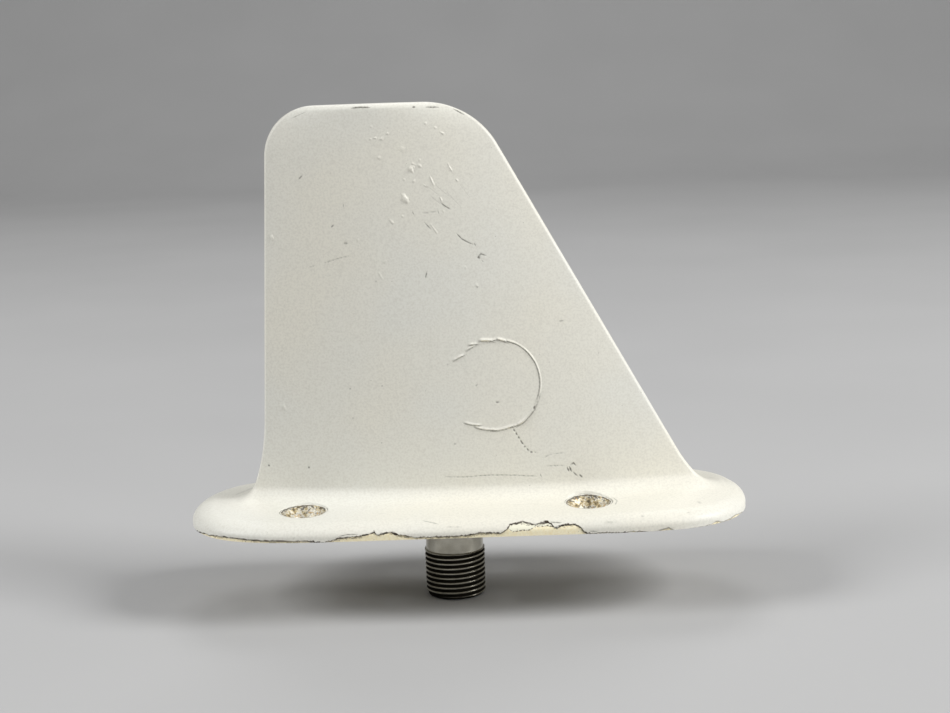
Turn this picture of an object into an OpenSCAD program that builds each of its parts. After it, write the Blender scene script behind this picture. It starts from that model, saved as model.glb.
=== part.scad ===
// Blade antenna for an aircraft skin, a swept quarter-wave blade on an oval flange.
// Millimetres. +X is forward, +Z is away from the skin, and the XZ plane is the plane of symmetry.
// The origin is the centre of the screw pattern, on the face that lies against the skin.

/* [Blade] */
// Height of the blade's top above the skin
blade_h = 74.4; // [60:0.1:90]
// Trailing edge, carried down to the skin, behind the origin
te_foot = 33.6; // [32:0.1:36]
// Forward lean of the trailing edge, degrees
te_lean = 3.0; // [0:0.1:8]
// Leading edge, carried down to the skin, ahead of the origin
le_foot = 48.0; // [44:0.1:50]
// Sweep of the leading edge, degrees from upright
le_sweep = 28.9; // [20:0.1:32]
// Radius of the top corner at the trailing edge
aft_corner_r = 9.0; // [5:0.1:11]
// Radius of the top corner at the leading edge
fwd_corner_r = 15.0; // [10:0.1:17]
// Thickness of the section at the skin, half way along the chord
root_t = 10.0; // [9:0.1:13]
// Thickness of the section at the top
tip_t = 5.2; // [4:0.1:7]
// Height of the rounded edge along the top
tip_edge = 0.9; // [0.4:0.1:1.6]
// Nose radius of the leading and trailing edges
edge_r = 0.8; // [0.6:0.1:1.6]
// Reach of the root fillet over the flange, off the sides of the blade
side_reach = 4.2; // [2:0.1:5]
// Rise of the root fillet up the sides of the blade
side_rise = 2.6; // [1.5:0.1:5]
// Reach of the root fillet over the flange, off the edges of the blade
end_reach = 4.0; // [2:0.1:5]
// Rise of the root fillet up the edges of the blade
end_rise = 11.0; // [6:0.1:14]

/* [Flange] */
// Reach of the flange behind the origin
flange_aft = 46.5; // [44:0.1:50]
// Reach of the flange ahead of the origin
flange_fwd = 54.5; // [53:0.1:58]
// Width of the flange
flange_w = 38.6; // [36:0.1:46]
// Fullness of the flange's outline, from an ellipse at 2 towards a rectangle
flange_power = 6.8; // [5:0.1:10]
// Thickness of the flange where its edge starts to round over
flange_t = 3.0; // [2.7:0.1:3.6]
// Rise of the flange from there to the foot of the blade
flange_crown = 0.3; // [0:0.1:0.8]
// Width of the rounded edge
rim_round = 5.0; // [1:0.1:5.5]
// Height of the upright wall under the rounded edge
rim_h = 0.8; // [0.4:0.1:1.2]

/* [Ground plate] */
// Thickness of the plate
plate_t = 1.2; // [0.8:0.1:1.4]
// Width of the resin border round the plate
plate_border = 3.2; // [2.5:0.1:3.8]

/* [Screw bushes] */
// Screw spacing along the flange
pitch_x = 50.8; // [46:0.1:54]
// Screw spacing across the flange
pitch_y = 19.05; // [18.5:0.05:20]
// Clearance hole for the screw
screw_d = 4.5; // [4:0.1:5]
// Countersink at the top of the bush
csk_d = 7.9; // [7:0.1:8.2]
// Full angle of the countersink, degrees
csk_angle = 100; // [90:1:110]
// Outside of the bush in the flange
bush_d = 8.7; // [8.4:0.1:9.6]
// Outside of the bush where it passes through the plate
spigot_d = 6.6; // [5.6:0.1:7.6]

/* [Connector] */
// Axis of the connector ahead of the origin
jack_x = 1.1; // [-2:0.1:4]
// Smooth barrel
barrel_d = 10.5; // [9.8:0.1:10.8]
// Length of the smooth barrel below the skin face
barrel_len = 7.0; // [5:0.1:12]
// Outside of the coupling thread
thread_d = 11.1; // [10.9:0.1:12.7]
// Length of the coupling thread
thread_len = 8.6; // [6:0.1:10]
// Chamfer at the mouth
mouth_chamfer = 0.6; // [0.3:0.1:0.8]
// Bore of the socket
socket_d = 8.1; // [7.6:0.1:8.4]
// Depth of the socket
socket_depth = 9.0; // [7:0.1:11]
// Collar that seats on the inside of the plate
collar_d = 15.0; // [13:0.1:17]
// Thickness of the collar
collar_t = 1.5; // [1:0.1:1.8]
// Neck of the shell above the collar
neck_d = 8.4; // [7.6:0.1:9]
// Height of the neck above the collar
neck_h = 1.6; // [1:0.1:2.5]
// Bead of the insulator inside the shell
bead_d = 6.0; // [5.4:0.1:6.6]
// Nose of the insulator inside the socket
nose_d = 4.8; // [4.2:0.1:5.2]
// Setback of the insulator's nose from the mouth
nose_setback = 0.6; // [0.2:0.1:1.5]
// Lip of the shell that stops the bead
lip_t = 0.8; // [0.5:0.1:1.5]

/* [Contact and radiator] */
// Outside of the centre contact
contact_d = 2.1; // [1.9:0.1:2.6]
// Bore of the contact's socket
contact_bore = 1.4; // [1.2:0.05:1.5]
// Depth of the contact's socket
contact_depth = 5.0; // [4:0.1:7]
// Saw cut that lets the socket spring
contact_slit = 0.3; // [0.2:0.05:0.5]
// Setback of the contact from the end of the insulator's nose
contact_setback = 0.3; // [0.1:0.1:1]
// Outside of the solder fork
fork_d = 3.4; // [3:0.1:4]
// Solid foot of the fork
fork_foot = 1.2; // [0.8:0.1:2]
// Depth of the fork's slot
fork_slot = 4.0; // [3:0.1:5]
// Thickness of the radiator sheet
radiator_t = 0.8; // [0.5:0.1:1]
// Width of the radiator's solder tab
tab_w = 6.0; // [5:0.1:9]
// Height of the tab above the foot of its slot
tab_h = 6.0; // [5.2:0.1:9]
// Rise of the radiator's flared lower edges
flare_h = 9.0; // [6:0.1:14]
// Resin between the radiator and the blade's outline
radiator_border = 7.0; // [6:0.1:9]

/* [Hidden] */
$fn = 64;

// Overrun of a cut past the face that it opens
cut = 1;

// Sections of the loft: steps round each nose, along each side and up each curve
nose_steps = 14;
side_steps = 18;
tip_steps = 6;
corner_steps = 5;
straight_steps = 5;
fillet_steps = 6;
crown_steps = 3;
rim_steps = 5;
// Share of the tip thickness left flat along the top of the blade
tip_land = 0.65;
// Angle of the flange's end that each nose of the blade spreads over
end_sweep = 80;
// Largest share of the flange's top that its rounded edge may take
round_share = 0.7;

foot_z = flange_t + flange_crown;
rim_a = (flange_aft + flange_fwd) / 2;
rim_b = flange_w / 2;
rim_x = (flange_fwd - flange_aft) / 2;
collar_z = plate_t + collar_t;
neck_z = collar_z + neck_h;
mouth_z = -(barrel_len + thread_len);
socket_z = mouth_z + socket_depth;
lip_z = socket_z + lip_t;
nose_z = mouth_z + nose_setback;
contact_z = nose_z + contact_setback;
tab_z = neck_z + fork_foot;
fork_z = tab_z + fork_slot;
flare_z = tab_z + tab_h;

function lerp(a, b, t) = a + (b - a) * t;

// Side outline of the blade: two straight edges, each run into the top by a corner arc
function te_line(z) = -te_foot + z * tan(te_lean);
function le_line(z) = le_foot - z * tan(le_sweep);
aft_cz = blade_h - aft_corner_r;
aft_cx = te_line(aft_cz) + aft_corner_r / cos(te_lean);
fwd_cz = blade_h - fwd_corner_r;
fwd_cx = le_line(fwd_cz) - fwd_corner_r / cos(le_sweep);
aft_tangent_z = aft_cz + aft_corner_r * sin(te_lean);
fwd_tangent_z = fwd_cz + fwd_corner_r * sin(le_sweep);
function arc_x(r, dz) = sqrt(max(0, r * r - dz * dz));
function te(z) = z < aft_tangent_z ? te_line(z) : aft_cx - arc_x(aft_corner_r, z - aft_cz);
function le(z) = z < fwd_tangent_z ? le_line(z) : fwd_cx + arc_x(fwd_corner_r, z - fwd_cz);

// Thickness of the section, rounded off into the flat land along the top
function tip_share(z) = max(0, z - blade_h + tip_edge) / tip_edge;
function tip_round(z) = sqrt(1 - (1 - tip_land * tip_land) * pow(tip_share(z), 2));
function half_t(z) = lerp(root_t, tip_t, z / blade_h) / 2 * tip_round(z);
function nose_r(z) = edge_r * tip_round(z);

// The section is a lens with sharp ends, grown outwards by the nose radius.
// Steps run round the aft nose, along -Y, round the forward nose and back along +Y.
ring_n = 2 * (nose_steps + side_steps);
function lens_slope(z) =
    4 * (half_t(z) - nose_r(z)) / (le(z) - te(z) - 2 * nose_r(z));
function at_aft_nose(i) = i <= nose_steps;
function at_fwd_nose(i) =
    i >= nose_steps + side_steps && i <= 2 * nose_steps + side_steps;
function on_right(i) = i < nose_steps + side_steps;
function nose_share(i) = on_right(i) ? i / nose_steps : (i - nose_steps - side_steps) / nose_steps;
function side_share(i) = on_right(i) ? (i - nose_steps) / side_steps
                                     : 1 - (i - 2 * nose_steps - side_steps) / side_steps;

// Direction that the outline faces at step i
function facing(i, z) =
    let (fan = 90 - atan(lens_slope(z)), u = side_share(i))
    at_aft_nose(i) ? 180 + lerp(-fan, fan, nose_share(i)) :
    at_fwd_nose(i) ? lerp(-fan, fan, nose_share(i)) :
    let (tilt = atan(lens_slope(z) * (1 - 2 * u)))
    on_right(i) ? 270 - tilt : 90 + tilt;

// Point of the sharp lens at step i
function lens_point(i, z) =
    let (a = te(z) + nose_r(z), f = le(z) - nose_r(z), u = side_share(i))
    at_aft_nose(i) ? [a, 0] :
    at_fwd_nose(i) ? [f, 0] :
    let (y = (half_t(z) - nose_r(z)) * 4 * u * (1 - u))
    [lerp(a, f, u), on_right(i) ? -y : y];

// Point of the blade's skin at step i and height z, grown outwards
function skin(i, z, grow = 0) =
    let (p = lens_point(i, z), d = facing(i, z), r = nose_r(z) + grow)
    [p.x + r * cos(d), p.y + r * sin(d), z];

// The root fillet is a quarter ellipse in section, taller off the edges of the blade
function edge_on(i) = pow(cos(facing(i, foot_z)), 2);
function reach(i) = lerp(side_reach, end_reach, edge_on(i));
function rise(i) = lerp(side_rise, end_rise, edge_on(i));
function fillet_point(i, a) =
    skin(i, foot_z + rise(i) * (1 - sin(a)), reach(i) * (1 - cos(a)));

// Outline of the flange: a superellipse, square in x and round in y
function rim_point(i) =
    let (a = end_sweep * (2 * nose_share(i) - 1))
    at_aft_nose(i) ? [rim_x - rim_a * pow(cos(a), 2 / flange_power), -rim_b * sin(a)] :
    at_fwd_nose(i) ? [rim_x + rim_a * pow(cos(a), 2 / flange_power), rim_b * sin(a)] :
    let (t = (2 * side_share(i) - 1) * pow(cos(end_sweep), 2 / flange_power),
         y = rim_b * sqrt(1 - pow(abs(t), flange_power)))
    [rim_x + rim_a * t, on_right(i) ? -y : y];

// Points of the flange's top, from the foot of the fillet out to the rim
function foot_xy(i) = let (p = fillet_point(i, 90)) [p.x, p.y];
function run(i) = norm(rim_point(i) - foot_xy(i));
function round_w(i) = min(rim_round, round_share * run(i));
function top_point(i, inset, z) = [each lerp(rim_point(i), foot_xy(i), inset / run(i)), z];
function crown_point(i, t) =
    top_point(i, lerp(run(i), round_w(i), t), lerp(foot_z, flange_t, t));
function edge_point(i, a) =
    top_point(i, round_w(i) * (1 - sin(a)), rim_h + (flange_t - rim_h) * cos(a));

// Skins a stack of rings, the topmost first
module loft(rings) {
    n = len(rings[0]);
    last = len(rings) - 1;
    function at(k, i) = k * n + i % n;
    polyhedron(
        points = [for (ring = rings) each ring],
        faces = [
            [for (i = [n - 1 : -1 : 0]) at(0, i)],
            for (k = [0 : last - 1], i = [0 : n - 1]) [at(k, i), at(k, i + 1), at(k + 1, i + 1)],
            for (k = [0 : last - 1], i = [0 : n - 1]) [at(k, i), at(k + 1, i + 1), at(k + 1, i)],
            [for (i = [0 : n - 1]) at(last, i)]
        ]
    );
}

// Outside of the moulding, lofted from the tip down to the skin
module moulding() {
    steps = [0 : ring_n - 1];
    corner_z = min(aft_tangent_z, fwd_tangent_z);
    root_z = foot_z + end_rise + side_rise;
    loft([
        for (k = [0 : tip_steps - 1])
            [for (i = steps) skin(i, blade_h - tip_edge * (1 - cos(90 * k / tip_steps)))],
        for (k = [0 : corner_steps - 1])
            [for (i = steps) skin(i, lerp(blade_h - tip_edge, corner_z, k / corner_steps))],
        for (k = [0 : straight_steps - 1])
            [for (i = steps) skin(i, lerp(corner_z, root_z, k / (straight_steps - 1)))],
        for (k = [0 : fillet_steps])
            [for (i = steps) fillet_point(i, 90 * k / fillet_steps)],
        for (k = [1 : crown_steps])
            [for (i = steps) crown_point(i, k / crown_steps)],
        for (k = [1 : rim_steps])
            [for (i = steps) edge_point(i, 90 * k / rim_steps)],
        [for (i = steps) [each rim_point(i), 0]]
    ]);
}

module at_jack() {
    translate([jack_x, 0, 0]) children();
}

// Round stock on the connector's axis, from height z0 to z1
module turned(d, z0, z1) {
    translate([0, 0, z0]) cylinder(d = d, h = z1 - z0);
}

// Outline of the ground plate, a bar with round ends
module plate_outline() {
    r = rim_b - plate_border;
    aft = -flange_aft + plate_border + r;
    fwd = flange_fwd - plate_border - r;
    translate([aft, -r]) square([fwd - aft, 2 * r]);
    for (x = [aft, fwd]) translate([x, 0]) circle(r);
}

// Sheet of the radiator: a tab in the fork, flared out to follow the blade's outline
module radiator_sheet() {
    top_z = blade_h - radiator_border;
    low_z = flare_z + flare_h;
    rotate([90, 0, 0])
        linear_extrude(radiator_t, center = true)
            polygon([
                [jack_x - tab_w / 2, tab_z],
                [jack_x + tab_w / 2, tab_z],
                [jack_x + tab_w / 2, flare_z],
                [le_line(low_z) - radiator_border, low_z],
                [le_line(top_z) - radiator_border, top_z],
                [te_line(top_z) + radiator_border, top_z],
                [te_line(low_z) + radiator_border, low_z],
                [jack_x - tab_w / 2, flare_z]
            ]);
}

// Places its child at one screw, counted from the aft left
module at_screw(side_x, side_y) {
    translate([side_x * pitch_x / 2, side_y * pitch_y / 2, 0]) children();
}

// Blade and flange, moulded in one piece round the metalwork
module radome() {
    color("whitesmoke")
        difference() {
            moulding();
            translate([0, 0, -cut]) linear_extrude(plate_t + cut) plate_outline();
            for (side_x = [-1, 1], side_y = [-1, 1])
                at_screw(side_x, side_y) turned(bush_d, 0, foot_z + side_rise);
            at_jack() {
                turned(collar_d, 0, collar_z);
                turned(neck_d, 0, neck_z);
                turned(fork_d, 0, fork_z);
            }
            radiator_sheet();
        }
}

// Ground plate, flush with the underside of the flange
module base_plate() {
    color("silver")
        linear_extrude(plate_t)
            difference() {
                plate_outline();
                for (side_x = [-1, 1], side_y = [-1, 1])
                    at_screw(side_x, side_y) circle(d = spigot_d);
                at_jack() circle(d = barrel_d);
            }
}

// Countersunk bush that takes the clamping load of one screw down to the skin
module bush(side_x, side_y) {
    csk_depth = (csk_d - screw_d) / 2 / tan(csk_angle / 2);
    color("darkkhaki")
        at_screw(side_x, side_y)
            rotate_extrude()
                polygon([
                    [screw_d / 2, 0],
                    [spigot_d / 2, 0],
                    [spigot_d / 2, plate_t],
                    [bush_d / 2, plate_t],
                    [bush_d / 2, flange_t],
                    [csk_d / 2, flange_t],
                    [screw_d / 2, flange_t - csk_depth]
                ]);
}

module bush_aft_left() { bush(-1, 1); }
module bush_aft_right() { bush(-1, -1); }
module bush_fwd_left() { bush(1, 1); }
module bush_fwd_right() { bush(1, -1); }

// Shell of the coaxial jack: collar on the plate, smooth barrel and coupling thread
module connector_shell() {
    color("lightsteelblue")
        at_jack()
            rotate_extrude()
                polygon([
                    [socket_d / 2, mouth_z],
                    [thread_d / 2 - mouth_chamfer, mouth_z],
                    [thread_d / 2, mouth_z + mouth_chamfer],
                    [thread_d / 2, -barrel_len],
                    [barrel_d / 2, -barrel_len],
                    [barrel_d / 2, plate_t],
                    [collar_d / 2, plate_t],
                    [collar_d / 2, collar_z],
                    [neck_d / 2, collar_z],
                    [neck_d / 2, neck_z],
                    [bead_d / 2, neck_z],
                    [bead_d / 2, lip_z],
                    [nose_d / 2, lip_z],
                    [nose_d / 2, socket_z],
                    [socket_d / 2, socket_z]
                ]);
}

// Insulator: a bead that seats on the shell's lip, with a nose that stands in the socket
module connector_insulator() {
    color("ivory")
        at_jack()
            difference() {
                union() {
                    turned(nose_d, nose_z, lip_z);
                    turned(bead_d, lip_z, neck_z);
                }
                turned(contact_d, nose_z - cut, neck_z + cut);
            }
}

// Socket contact, split into four fingers, with a solder fork at its inner end
module centre_contact() {
    color("gold")
        at_jack()
            difference() {
                union() {
                    turned(contact_d, contact_z, neck_z);
                    turned(fork_d, neck_z, fork_z);
                }
                turned(contact_bore, contact_z - cut, contact_z + contact_depth);
                for (a = [0, 90])
                    rotate(a)
                        translate([-contact_d, -contact_slit / 2, contact_z - cut])
                            cube([2 * contact_d, contact_slit, contact_depth + cut]);
                translate([-fork_d, -radiator_t / 2, tab_z])
                    cube([2 * fork_d, radiator_t, fork_slot + cut]);
            }
}

// Sheet radiator, moulded into the blade and soldered in the fork
module radiator() {
    color("goldenrod") radiator_sheet();
}

radome();
base_plate();
bush_aft_left();
bush_aft_right();
bush_fwd_left();
bush_fwd_right();
connector_shell();
connector_insulator();
centre_contact();
radiator();
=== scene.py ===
import math

import bmesh
import bpy
import numpy as np
from mathutils import Matrix, Vector, noise


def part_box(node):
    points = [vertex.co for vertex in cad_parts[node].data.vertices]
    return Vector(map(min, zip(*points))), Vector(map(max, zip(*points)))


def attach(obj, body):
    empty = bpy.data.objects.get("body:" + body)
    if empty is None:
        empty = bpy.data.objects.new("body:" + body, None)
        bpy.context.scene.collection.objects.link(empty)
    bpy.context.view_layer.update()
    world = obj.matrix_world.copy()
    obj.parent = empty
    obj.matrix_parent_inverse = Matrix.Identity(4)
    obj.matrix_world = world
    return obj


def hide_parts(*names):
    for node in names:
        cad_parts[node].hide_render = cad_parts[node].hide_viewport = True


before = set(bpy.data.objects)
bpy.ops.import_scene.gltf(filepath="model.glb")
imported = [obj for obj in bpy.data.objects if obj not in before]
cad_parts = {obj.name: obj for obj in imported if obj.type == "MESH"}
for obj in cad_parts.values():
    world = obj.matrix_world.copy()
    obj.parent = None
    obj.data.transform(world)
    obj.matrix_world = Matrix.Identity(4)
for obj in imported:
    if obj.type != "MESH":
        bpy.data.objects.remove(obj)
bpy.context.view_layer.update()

# Shell of the coaxial jack: turned from steel bar and polished. Its collar seats on the inside of the
# ground plate, the smooth barrel passes through, and a right-hand thread of 28 to the inch takes the
# coupling nut of the plug. The grooves are painted near black and dull, partly for old oil in them and
# partly as painted shade deep in the recesses.
MM = 0.001
barrel_r = 5.25
barrel_len = 7.0
thread_r = 5.55
thread_pitch = 25.4 / 28
thread_depth = 0.50
crest_flat = 0.14
root_flat = 0.10
run_out = 0.3
mouth_chamfer = 0.6
socket_r = 4.05
socket_depth = 9.0
neck_r = 4.2
collar_t = 1.5
bead_r = 3.0
nose_r = 2.4
lip_t = 0.8
turned_edge = 0.14
turned_segments = 128
rows_per_pitch = 24

shell_low, shell_high = [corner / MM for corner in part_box("connector_shell")]
plate_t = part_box("base_plate")[1].z / MM
jack_x = (shell_low.x + shell_high.x) / 2
collar_r = (shell_high.x - shell_low.x) / 2
mouth_z = shell_low.z
neck_z = shell_high.z
collar_z = plate_t + collar_t
socket_z = mouth_z + socket_depth
lip_z = socket_z + lip_t


class Wire:
    """One socket of a material's nodes. Sums add Math nodes, and add() brings in any other node."""

    def __init__(self, tree, socket=None):
        self.tree = tree
        self.socket = socket

    def add(self, kind, settings=None, sockets=None, out=0):
        node = self.tree.nodes.new("ShaderNode" + kind)
        for name, value in (settings or {}).items():
            if name == "stops":
                ramp = node.color_ramp
                while len(ramp.elements) < len(value):
                    ramp.elements.new(1.0)
                for element, (position, colour) in zip(ramp.elements, value):
                    element.position = position
                    element.color = (*colour, 1.0)
            else:
                setattr(node, name, value)
        for name, value in (sockets or {}).items():
            if isinstance(value, Wire):
                self.tree.links.new(value.socket, node.inputs[name])
            else:
                node.inputs[name].default_value = value
        return Wire(self.tree, node.outputs[out]) if node.outputs else None

    def math(self, operation, *values):
        return self.add("Math", {"operation": operation}, dict(enumerate(values)))

    def __add__(self, other):
        return self.math("ADD", self, other)

    def __radd__(self, other):
        return self.math("ADD", other, self)

    def __sub__(self, other):
        return self.math("SUBTRACT", self, other)

    def __rsub__(self, other):
        return self.math("SUBTRACT", other, self)

    def __mul__(self, other):
        return self.math("MULTIPLY", self, other)

    def __rmul__(self, other):
        return self.math("MULTIPLY", other, self)

    def __abs__(self):
        return self.math("ABSOLUTE", self)

    def step(self, low, high):
        """0 below low, 1 above high and smooth between; falling where low is above high."""
        limits = {"Value": self, "From Min": low, "From Max": high}
        return self.add("MapRange", {"interpolation_type": "SMOOTHSTEP"}, limits)

    def mottle(self, scale, detail=2.0, roughness=0.5, out="Fac"):
        """Noise over this place, scale to the millimetre."""
        sockets = {"Vector": self, "Scale": scale, "Detail": detail, "Roughness": roughness}
        return self.add("TexNoise", None, sockets, out)

    def stretched(self, x, y, z):
        """This place with each axis scaled."""
        return self.add("VectorMath", {"operation": "MULTIPLY"}, {0: self, 1: (x, y, z)})

    def axes(self):
        """The three numbers of this place."""
        split = self.add("SeparateXYZ", None, {0: self}, out="X")
        return [Wire(self.tree, socket) for socket in split.socket.node.outputs]

    def spread(self, centre_x=0.0):
        """Distance from an upright axis."""
        x, y, _ = self.axes()
        x = x - centre_x
        return self.math("SQRT", x * x + y * y)

    def tint(self, colour, share):
        """This colour, turned to another one by a share."""
        other = colour if isinstance(colour, Wire) else (*colour, 1.0)
        return self.add("Mix", {"data_type": "RGBA"}, {0: share, 6: self, 7: other}, out=2)

    def shades(self, *stops):
        """Colours along this value, given as pairs of position and colour."""
        return self.add("ValToRGB", {"stops": stops}, {0: self})

    def bump(self, depth, normal=None):
        """Normal of a surface with this height, depth in millimetres."""
        sockets = {"Height": self, "Distance": depth * MM}
        if normal:
            sockets["Normal"] = normal
        return self.add("Bump", None, sockets)

    def finish(self, **sockets):
        """Ends the material in a principled shader."""
        named = {name.replace("_", " "): value for name, value in sockets.items()}
        shader = self.add("BsdfPrincipled", None, named)
        self.add("OutputMaterial", None, {"Surface": shader})


def new_finish(name):
    """A new material, and the place on the piece in millimetres as its first wire."""
    material = bpy.data.materials.new(name)
    material.use_nodes = True
    material.node_tree.nodes.clear()
    metres = Wire(material.node_tree).add("TexCoord", out="Object")
    place = metres.add("VectorMath", {"operation": "SCALE"}, {0: metres, "Scale": 1 / MM})
    return material, place


def new_piece(name, points, faces, material, sharp=35):
    """A smooth-shaded piece from points in millimetres, with edges over the sharp angle left crisp."""
    mesh = bpy.data.meshes.new(name)
    mesh.from_pydata([Vector(point) * MM for point in points], [], faces)
    work = bmesh.new()
    work.from_mesh(mesh)
    bmesh.ops.recalc_face_normals(work, faces=work.faces)
    work.to_mesh(mesh)
    work.free()
    mesh.shade_smooth()
    mesh.set_sharp_from_angle(angle=math.radians(sharp))
    mesh.materials.append(material)
    piece = bpy.data.objects.new(name, mesh)
    bpy.context.scene.collection.objects.link(piece)
    return piece


def smooth(value, low, high):
    """0 below low, 1 above high and smooth between."""
    t = np.clip((value - low) / (high - low), 0, 1)
    return t * t * (3 - 2 * t)


def eased(corners, radius, steps=3):
    """A closed outline with each corner rounded."""
    points = []
    for k, corner in enumerate(corners):
        here = Vector(corner)
        back = Vector(corners[k - 1]) - here
        onward = Vector(corners[(k + 1) % len(corners)]) - here
        reach = min(radius, 0.4 * back.length, 0.4 * onward.length)
        start = here + back.normalized() * reach
        end = here + onward.normalized() * reach
        for share in np.linspace(0, 1, steps + 1):
            points.append(start * (1 - share) ** 2 + here * 2 * share * (1 - share) + end * share**2)
    return points


def turned(outline, segments, cut=None):
    """Points and faces of a closed outline of radius and height, spun about the upright axis.
    cut gives a depth to take off the radius at an angle and height."""
    points = []
    for radius, height in outline:
        for k in range(segments):
            angle = 2 * math.pi * k / segments
            left = radius - (cut(angle, radius, height) if cut else 0.0)
            points.append((left * math.cos(angle), left * math.sin(angle), height))
    rows = len(outline)
    faces = []
    for row in range(rows):
        below = (row + 1) % rows
        for k in range(segments):
            after = (k + 1) % segments
            faces.append((row * segments + k, row * segments + after,
                          below * segments + after, below * segments + k))
    return points, faces


def thread_cut(angle, radius, height):
    """Depth of the thread's groove, fading out at the barrel."""
    if radius < thread_r - mouth_chamfer - turned_edge or height > -barrel_len:
        return 0.0
    turn = (height / thread_pitch - angle / (2 * math.pi)) % 1.0
    share = smooth(abs(2 * turn - 1), crest_flat, 1 - root_flat)
    fade = min(1.0, (-barrel_len - height) / run_out)
    return max(0.0, thread_depth * share * fade - (thread_r - radius))


thread_rows = int((-barrel_len - mouth_z - mouth_chamfer) / thread_pitch * rows_per_pitch)
thread_low = mouth_z + mouth_chamfer + turned_edge
thread_heights = np.linspace(thread_low, -barrel_len - turned_edge, thread_rows)
thread_wall = [(thread_r, height) for height in thread_heights[1:-1]]
shell_corners = [
    (socket_r, mouth_z), (thread_r - mouth_chamfer, mouth_z), (thread_r, mouth_z + mouth_chamfer),
    (thread_r, -barrel_len), (barrel_r, -barrel_len), (barrel_r, plate_t), (collar_r, plate_t),
    (collar_r, collar_z), (neck_r, collar_z), (neck_r, neck_z), (bead_r, neck_z), (bead_r, lip_z),
    (nose_r, lip_z), (nose_r, socket_z), (socket_r, socket_z),
]
shell_outline = eased(shell_corners, turned_edge)
thread_start = next(k for k, point in enumerate(shell_outline) if point[1] >= thread_wall[0][1])
shell_outline[thread_start:thread_start] = [Vector(point) for point in thread_wall]
shell_points, shell_faces = turned(shell_outline, turned_segments, thread_cut)
shell_points = [(x + jack_x, y, z) for x, y, z in shell_points]

steel, place = new_finish("polished_turned_steel")
_, _, height = place.axes()
tool_marks = place.stretched(0.3, 0.3, 8.0).mottle(1.0, 2.0)
smears = place.mottle(0.35, 2.0)
steel_shade = smears.shades((0.35, (0.37, 0.35, 0.29)), (0.65, (0.50, 0.48, 0.41)))
# Painted shade and oil: below this radius the thread's grooves turn near black, lose their metal and go
# dull
oil_and_shade_start = 0.03
oil_and_shade_full = 0.17
oil_and_shade_fade = 0.10
below_barrel = height.step(-barrel_len + oil_and_shade_fade / 2, -barrel_len - oil_and_shade_fade)
groove = place.spread(jack_x).step(thread_r - oil_and_shade_start, thread_r - oil_and_shade_full) * below_barrel
steel_shade = steel_shade.tint((0.015, 0.013, 0.009), groove)
steel_gloss = 0.17 + 0.10 * tool_marks + 0.55 * groove
place.finish(Base_Color=steel_shade, Metallic=1 - groove, Roughness=steel_gloss,
             Specular_IOR_Level=0.05, Normal=tool_marks.bump(0.003))

shell = new_piece("jack_shell", shell_points, shell_faces, steel)
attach(shell, "root")
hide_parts("connector_shell")

# Insulator of the jack: a white fluoropolymer bead, turned and pressed into the shell, with a nose that
# stands in the socket. It is waxy, slightly see-through, and shows faint rings from the tool.
fluoropolymer, place = new_finish("turned_fluoropolymer")
cloud = place.mottle(0.8, 2.0)
rings = place.stretched(0.4, 0.4, 12.0).mottle(1.0, 2.0)
insulator_shade = cloud.shades((0.3, (0.80, 0.80, 0.76)), (0.7, (0.87, 0.87, 0.84)))
place.finish(Base_Color=insulator_shade, Roughness=0.38 + 0.14 * rings, Normal=rings.bump(0.008),
             Subsurface_Weight=0.15, Subsurface_Radius=(0.0006, 0.0006, 0.0005))
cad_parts["connector_insulator"].data.materials.clear()
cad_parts["connector_insulator"].data.materials.append(fluoropolymer)

# Centre contact: a brass socket, saw-cut into four springs and plated with gold. It is pressed into the
# insulator, and its inner end is a fork that is soldered to the radiator.
gold, place = new_finish("gold_plating")
plating = place.mottle(1.6, 3.0)
draw_marks = place.stretched(3.0, 3.0, 0.4).mottle(1.0, 2.0)
gold_shade = plating.shades((0.3, (0.74, 0.52, 0.20)), (0.7, (0.90, 0.69, 0.32)))
place.finish(Base_Color=gold_shade, Metallic=1.0, Roughness=0.18 + 0.16 * draw_marks,
             Normal=draw_marks.bump(0.004))
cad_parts["centre_contact"].data.materials.clear()
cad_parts["centre_contact"].data.materials.append(gold)

# Radiator: a sheet of brass cut to follow the blade's outline, soldered into the contact's fork and
# moulded into the resin, so nothing of it shows on the finished antenna.
brass, place = new_finish("rolled_brass_sheet")
rolling = place.stretched(0.15, 1.0, 4.0).mottle(1.0, 3.0)
tarnish = place.mottle(0.12, 3.0, 0.6)
brass_shade = tarnish.shades((0.3, (0.46, 0.31, 0.11)), (0.7, (0.72, 0.54, 0.24)))
place.finish(Base_Color=brass_shade, Metallic=1.0, Roughness=0.30 + 0.2 * rolling,
             Normal=rolling.bump(0.005))
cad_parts["radiator"].data.materials.clear()
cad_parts["radiator"].data.materials.append(brass)

# Ground plate: aluminium sheet, punched for the screws and the jack and given a thin conversion coat.
# It lies flush in the underside of the flange and bonds the antenna to the aircraft skin.
sheet, place = new_finish("coated_aluminium_sheet")
grain = place.stretched(0.08, 2.5, 1.0).mottle(1.0, 4.0, 0.6)
coat_cloud = place.mottle(0.10, 4.0, 0.6)
rubs = place.stretched(0.5, 0.12, 1.0).mottle(1.0, 5.0, 0.7).step(0.60, 0.75)
plate_shade = coat_cloud.shades((0.30, (0.56, 0.50, 0.36)), (0.50, (0.66, 0.63, 0.54)),
                                (0.72, (0.60, 0.57, 0.50)))
plate_shade = plate_shade.tint((0.72, 0.72, 0.71), rubs * 0.7)
place.finish(Base_Color=plate_shade, Metallic=0.9, Roughness=0.34 + 0.22 * grain,
             Normal=grain.bump(0.006))
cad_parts["base_plate"].data.materials.clear()
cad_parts["base_plate"].data.materials.append(sheet)

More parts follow.
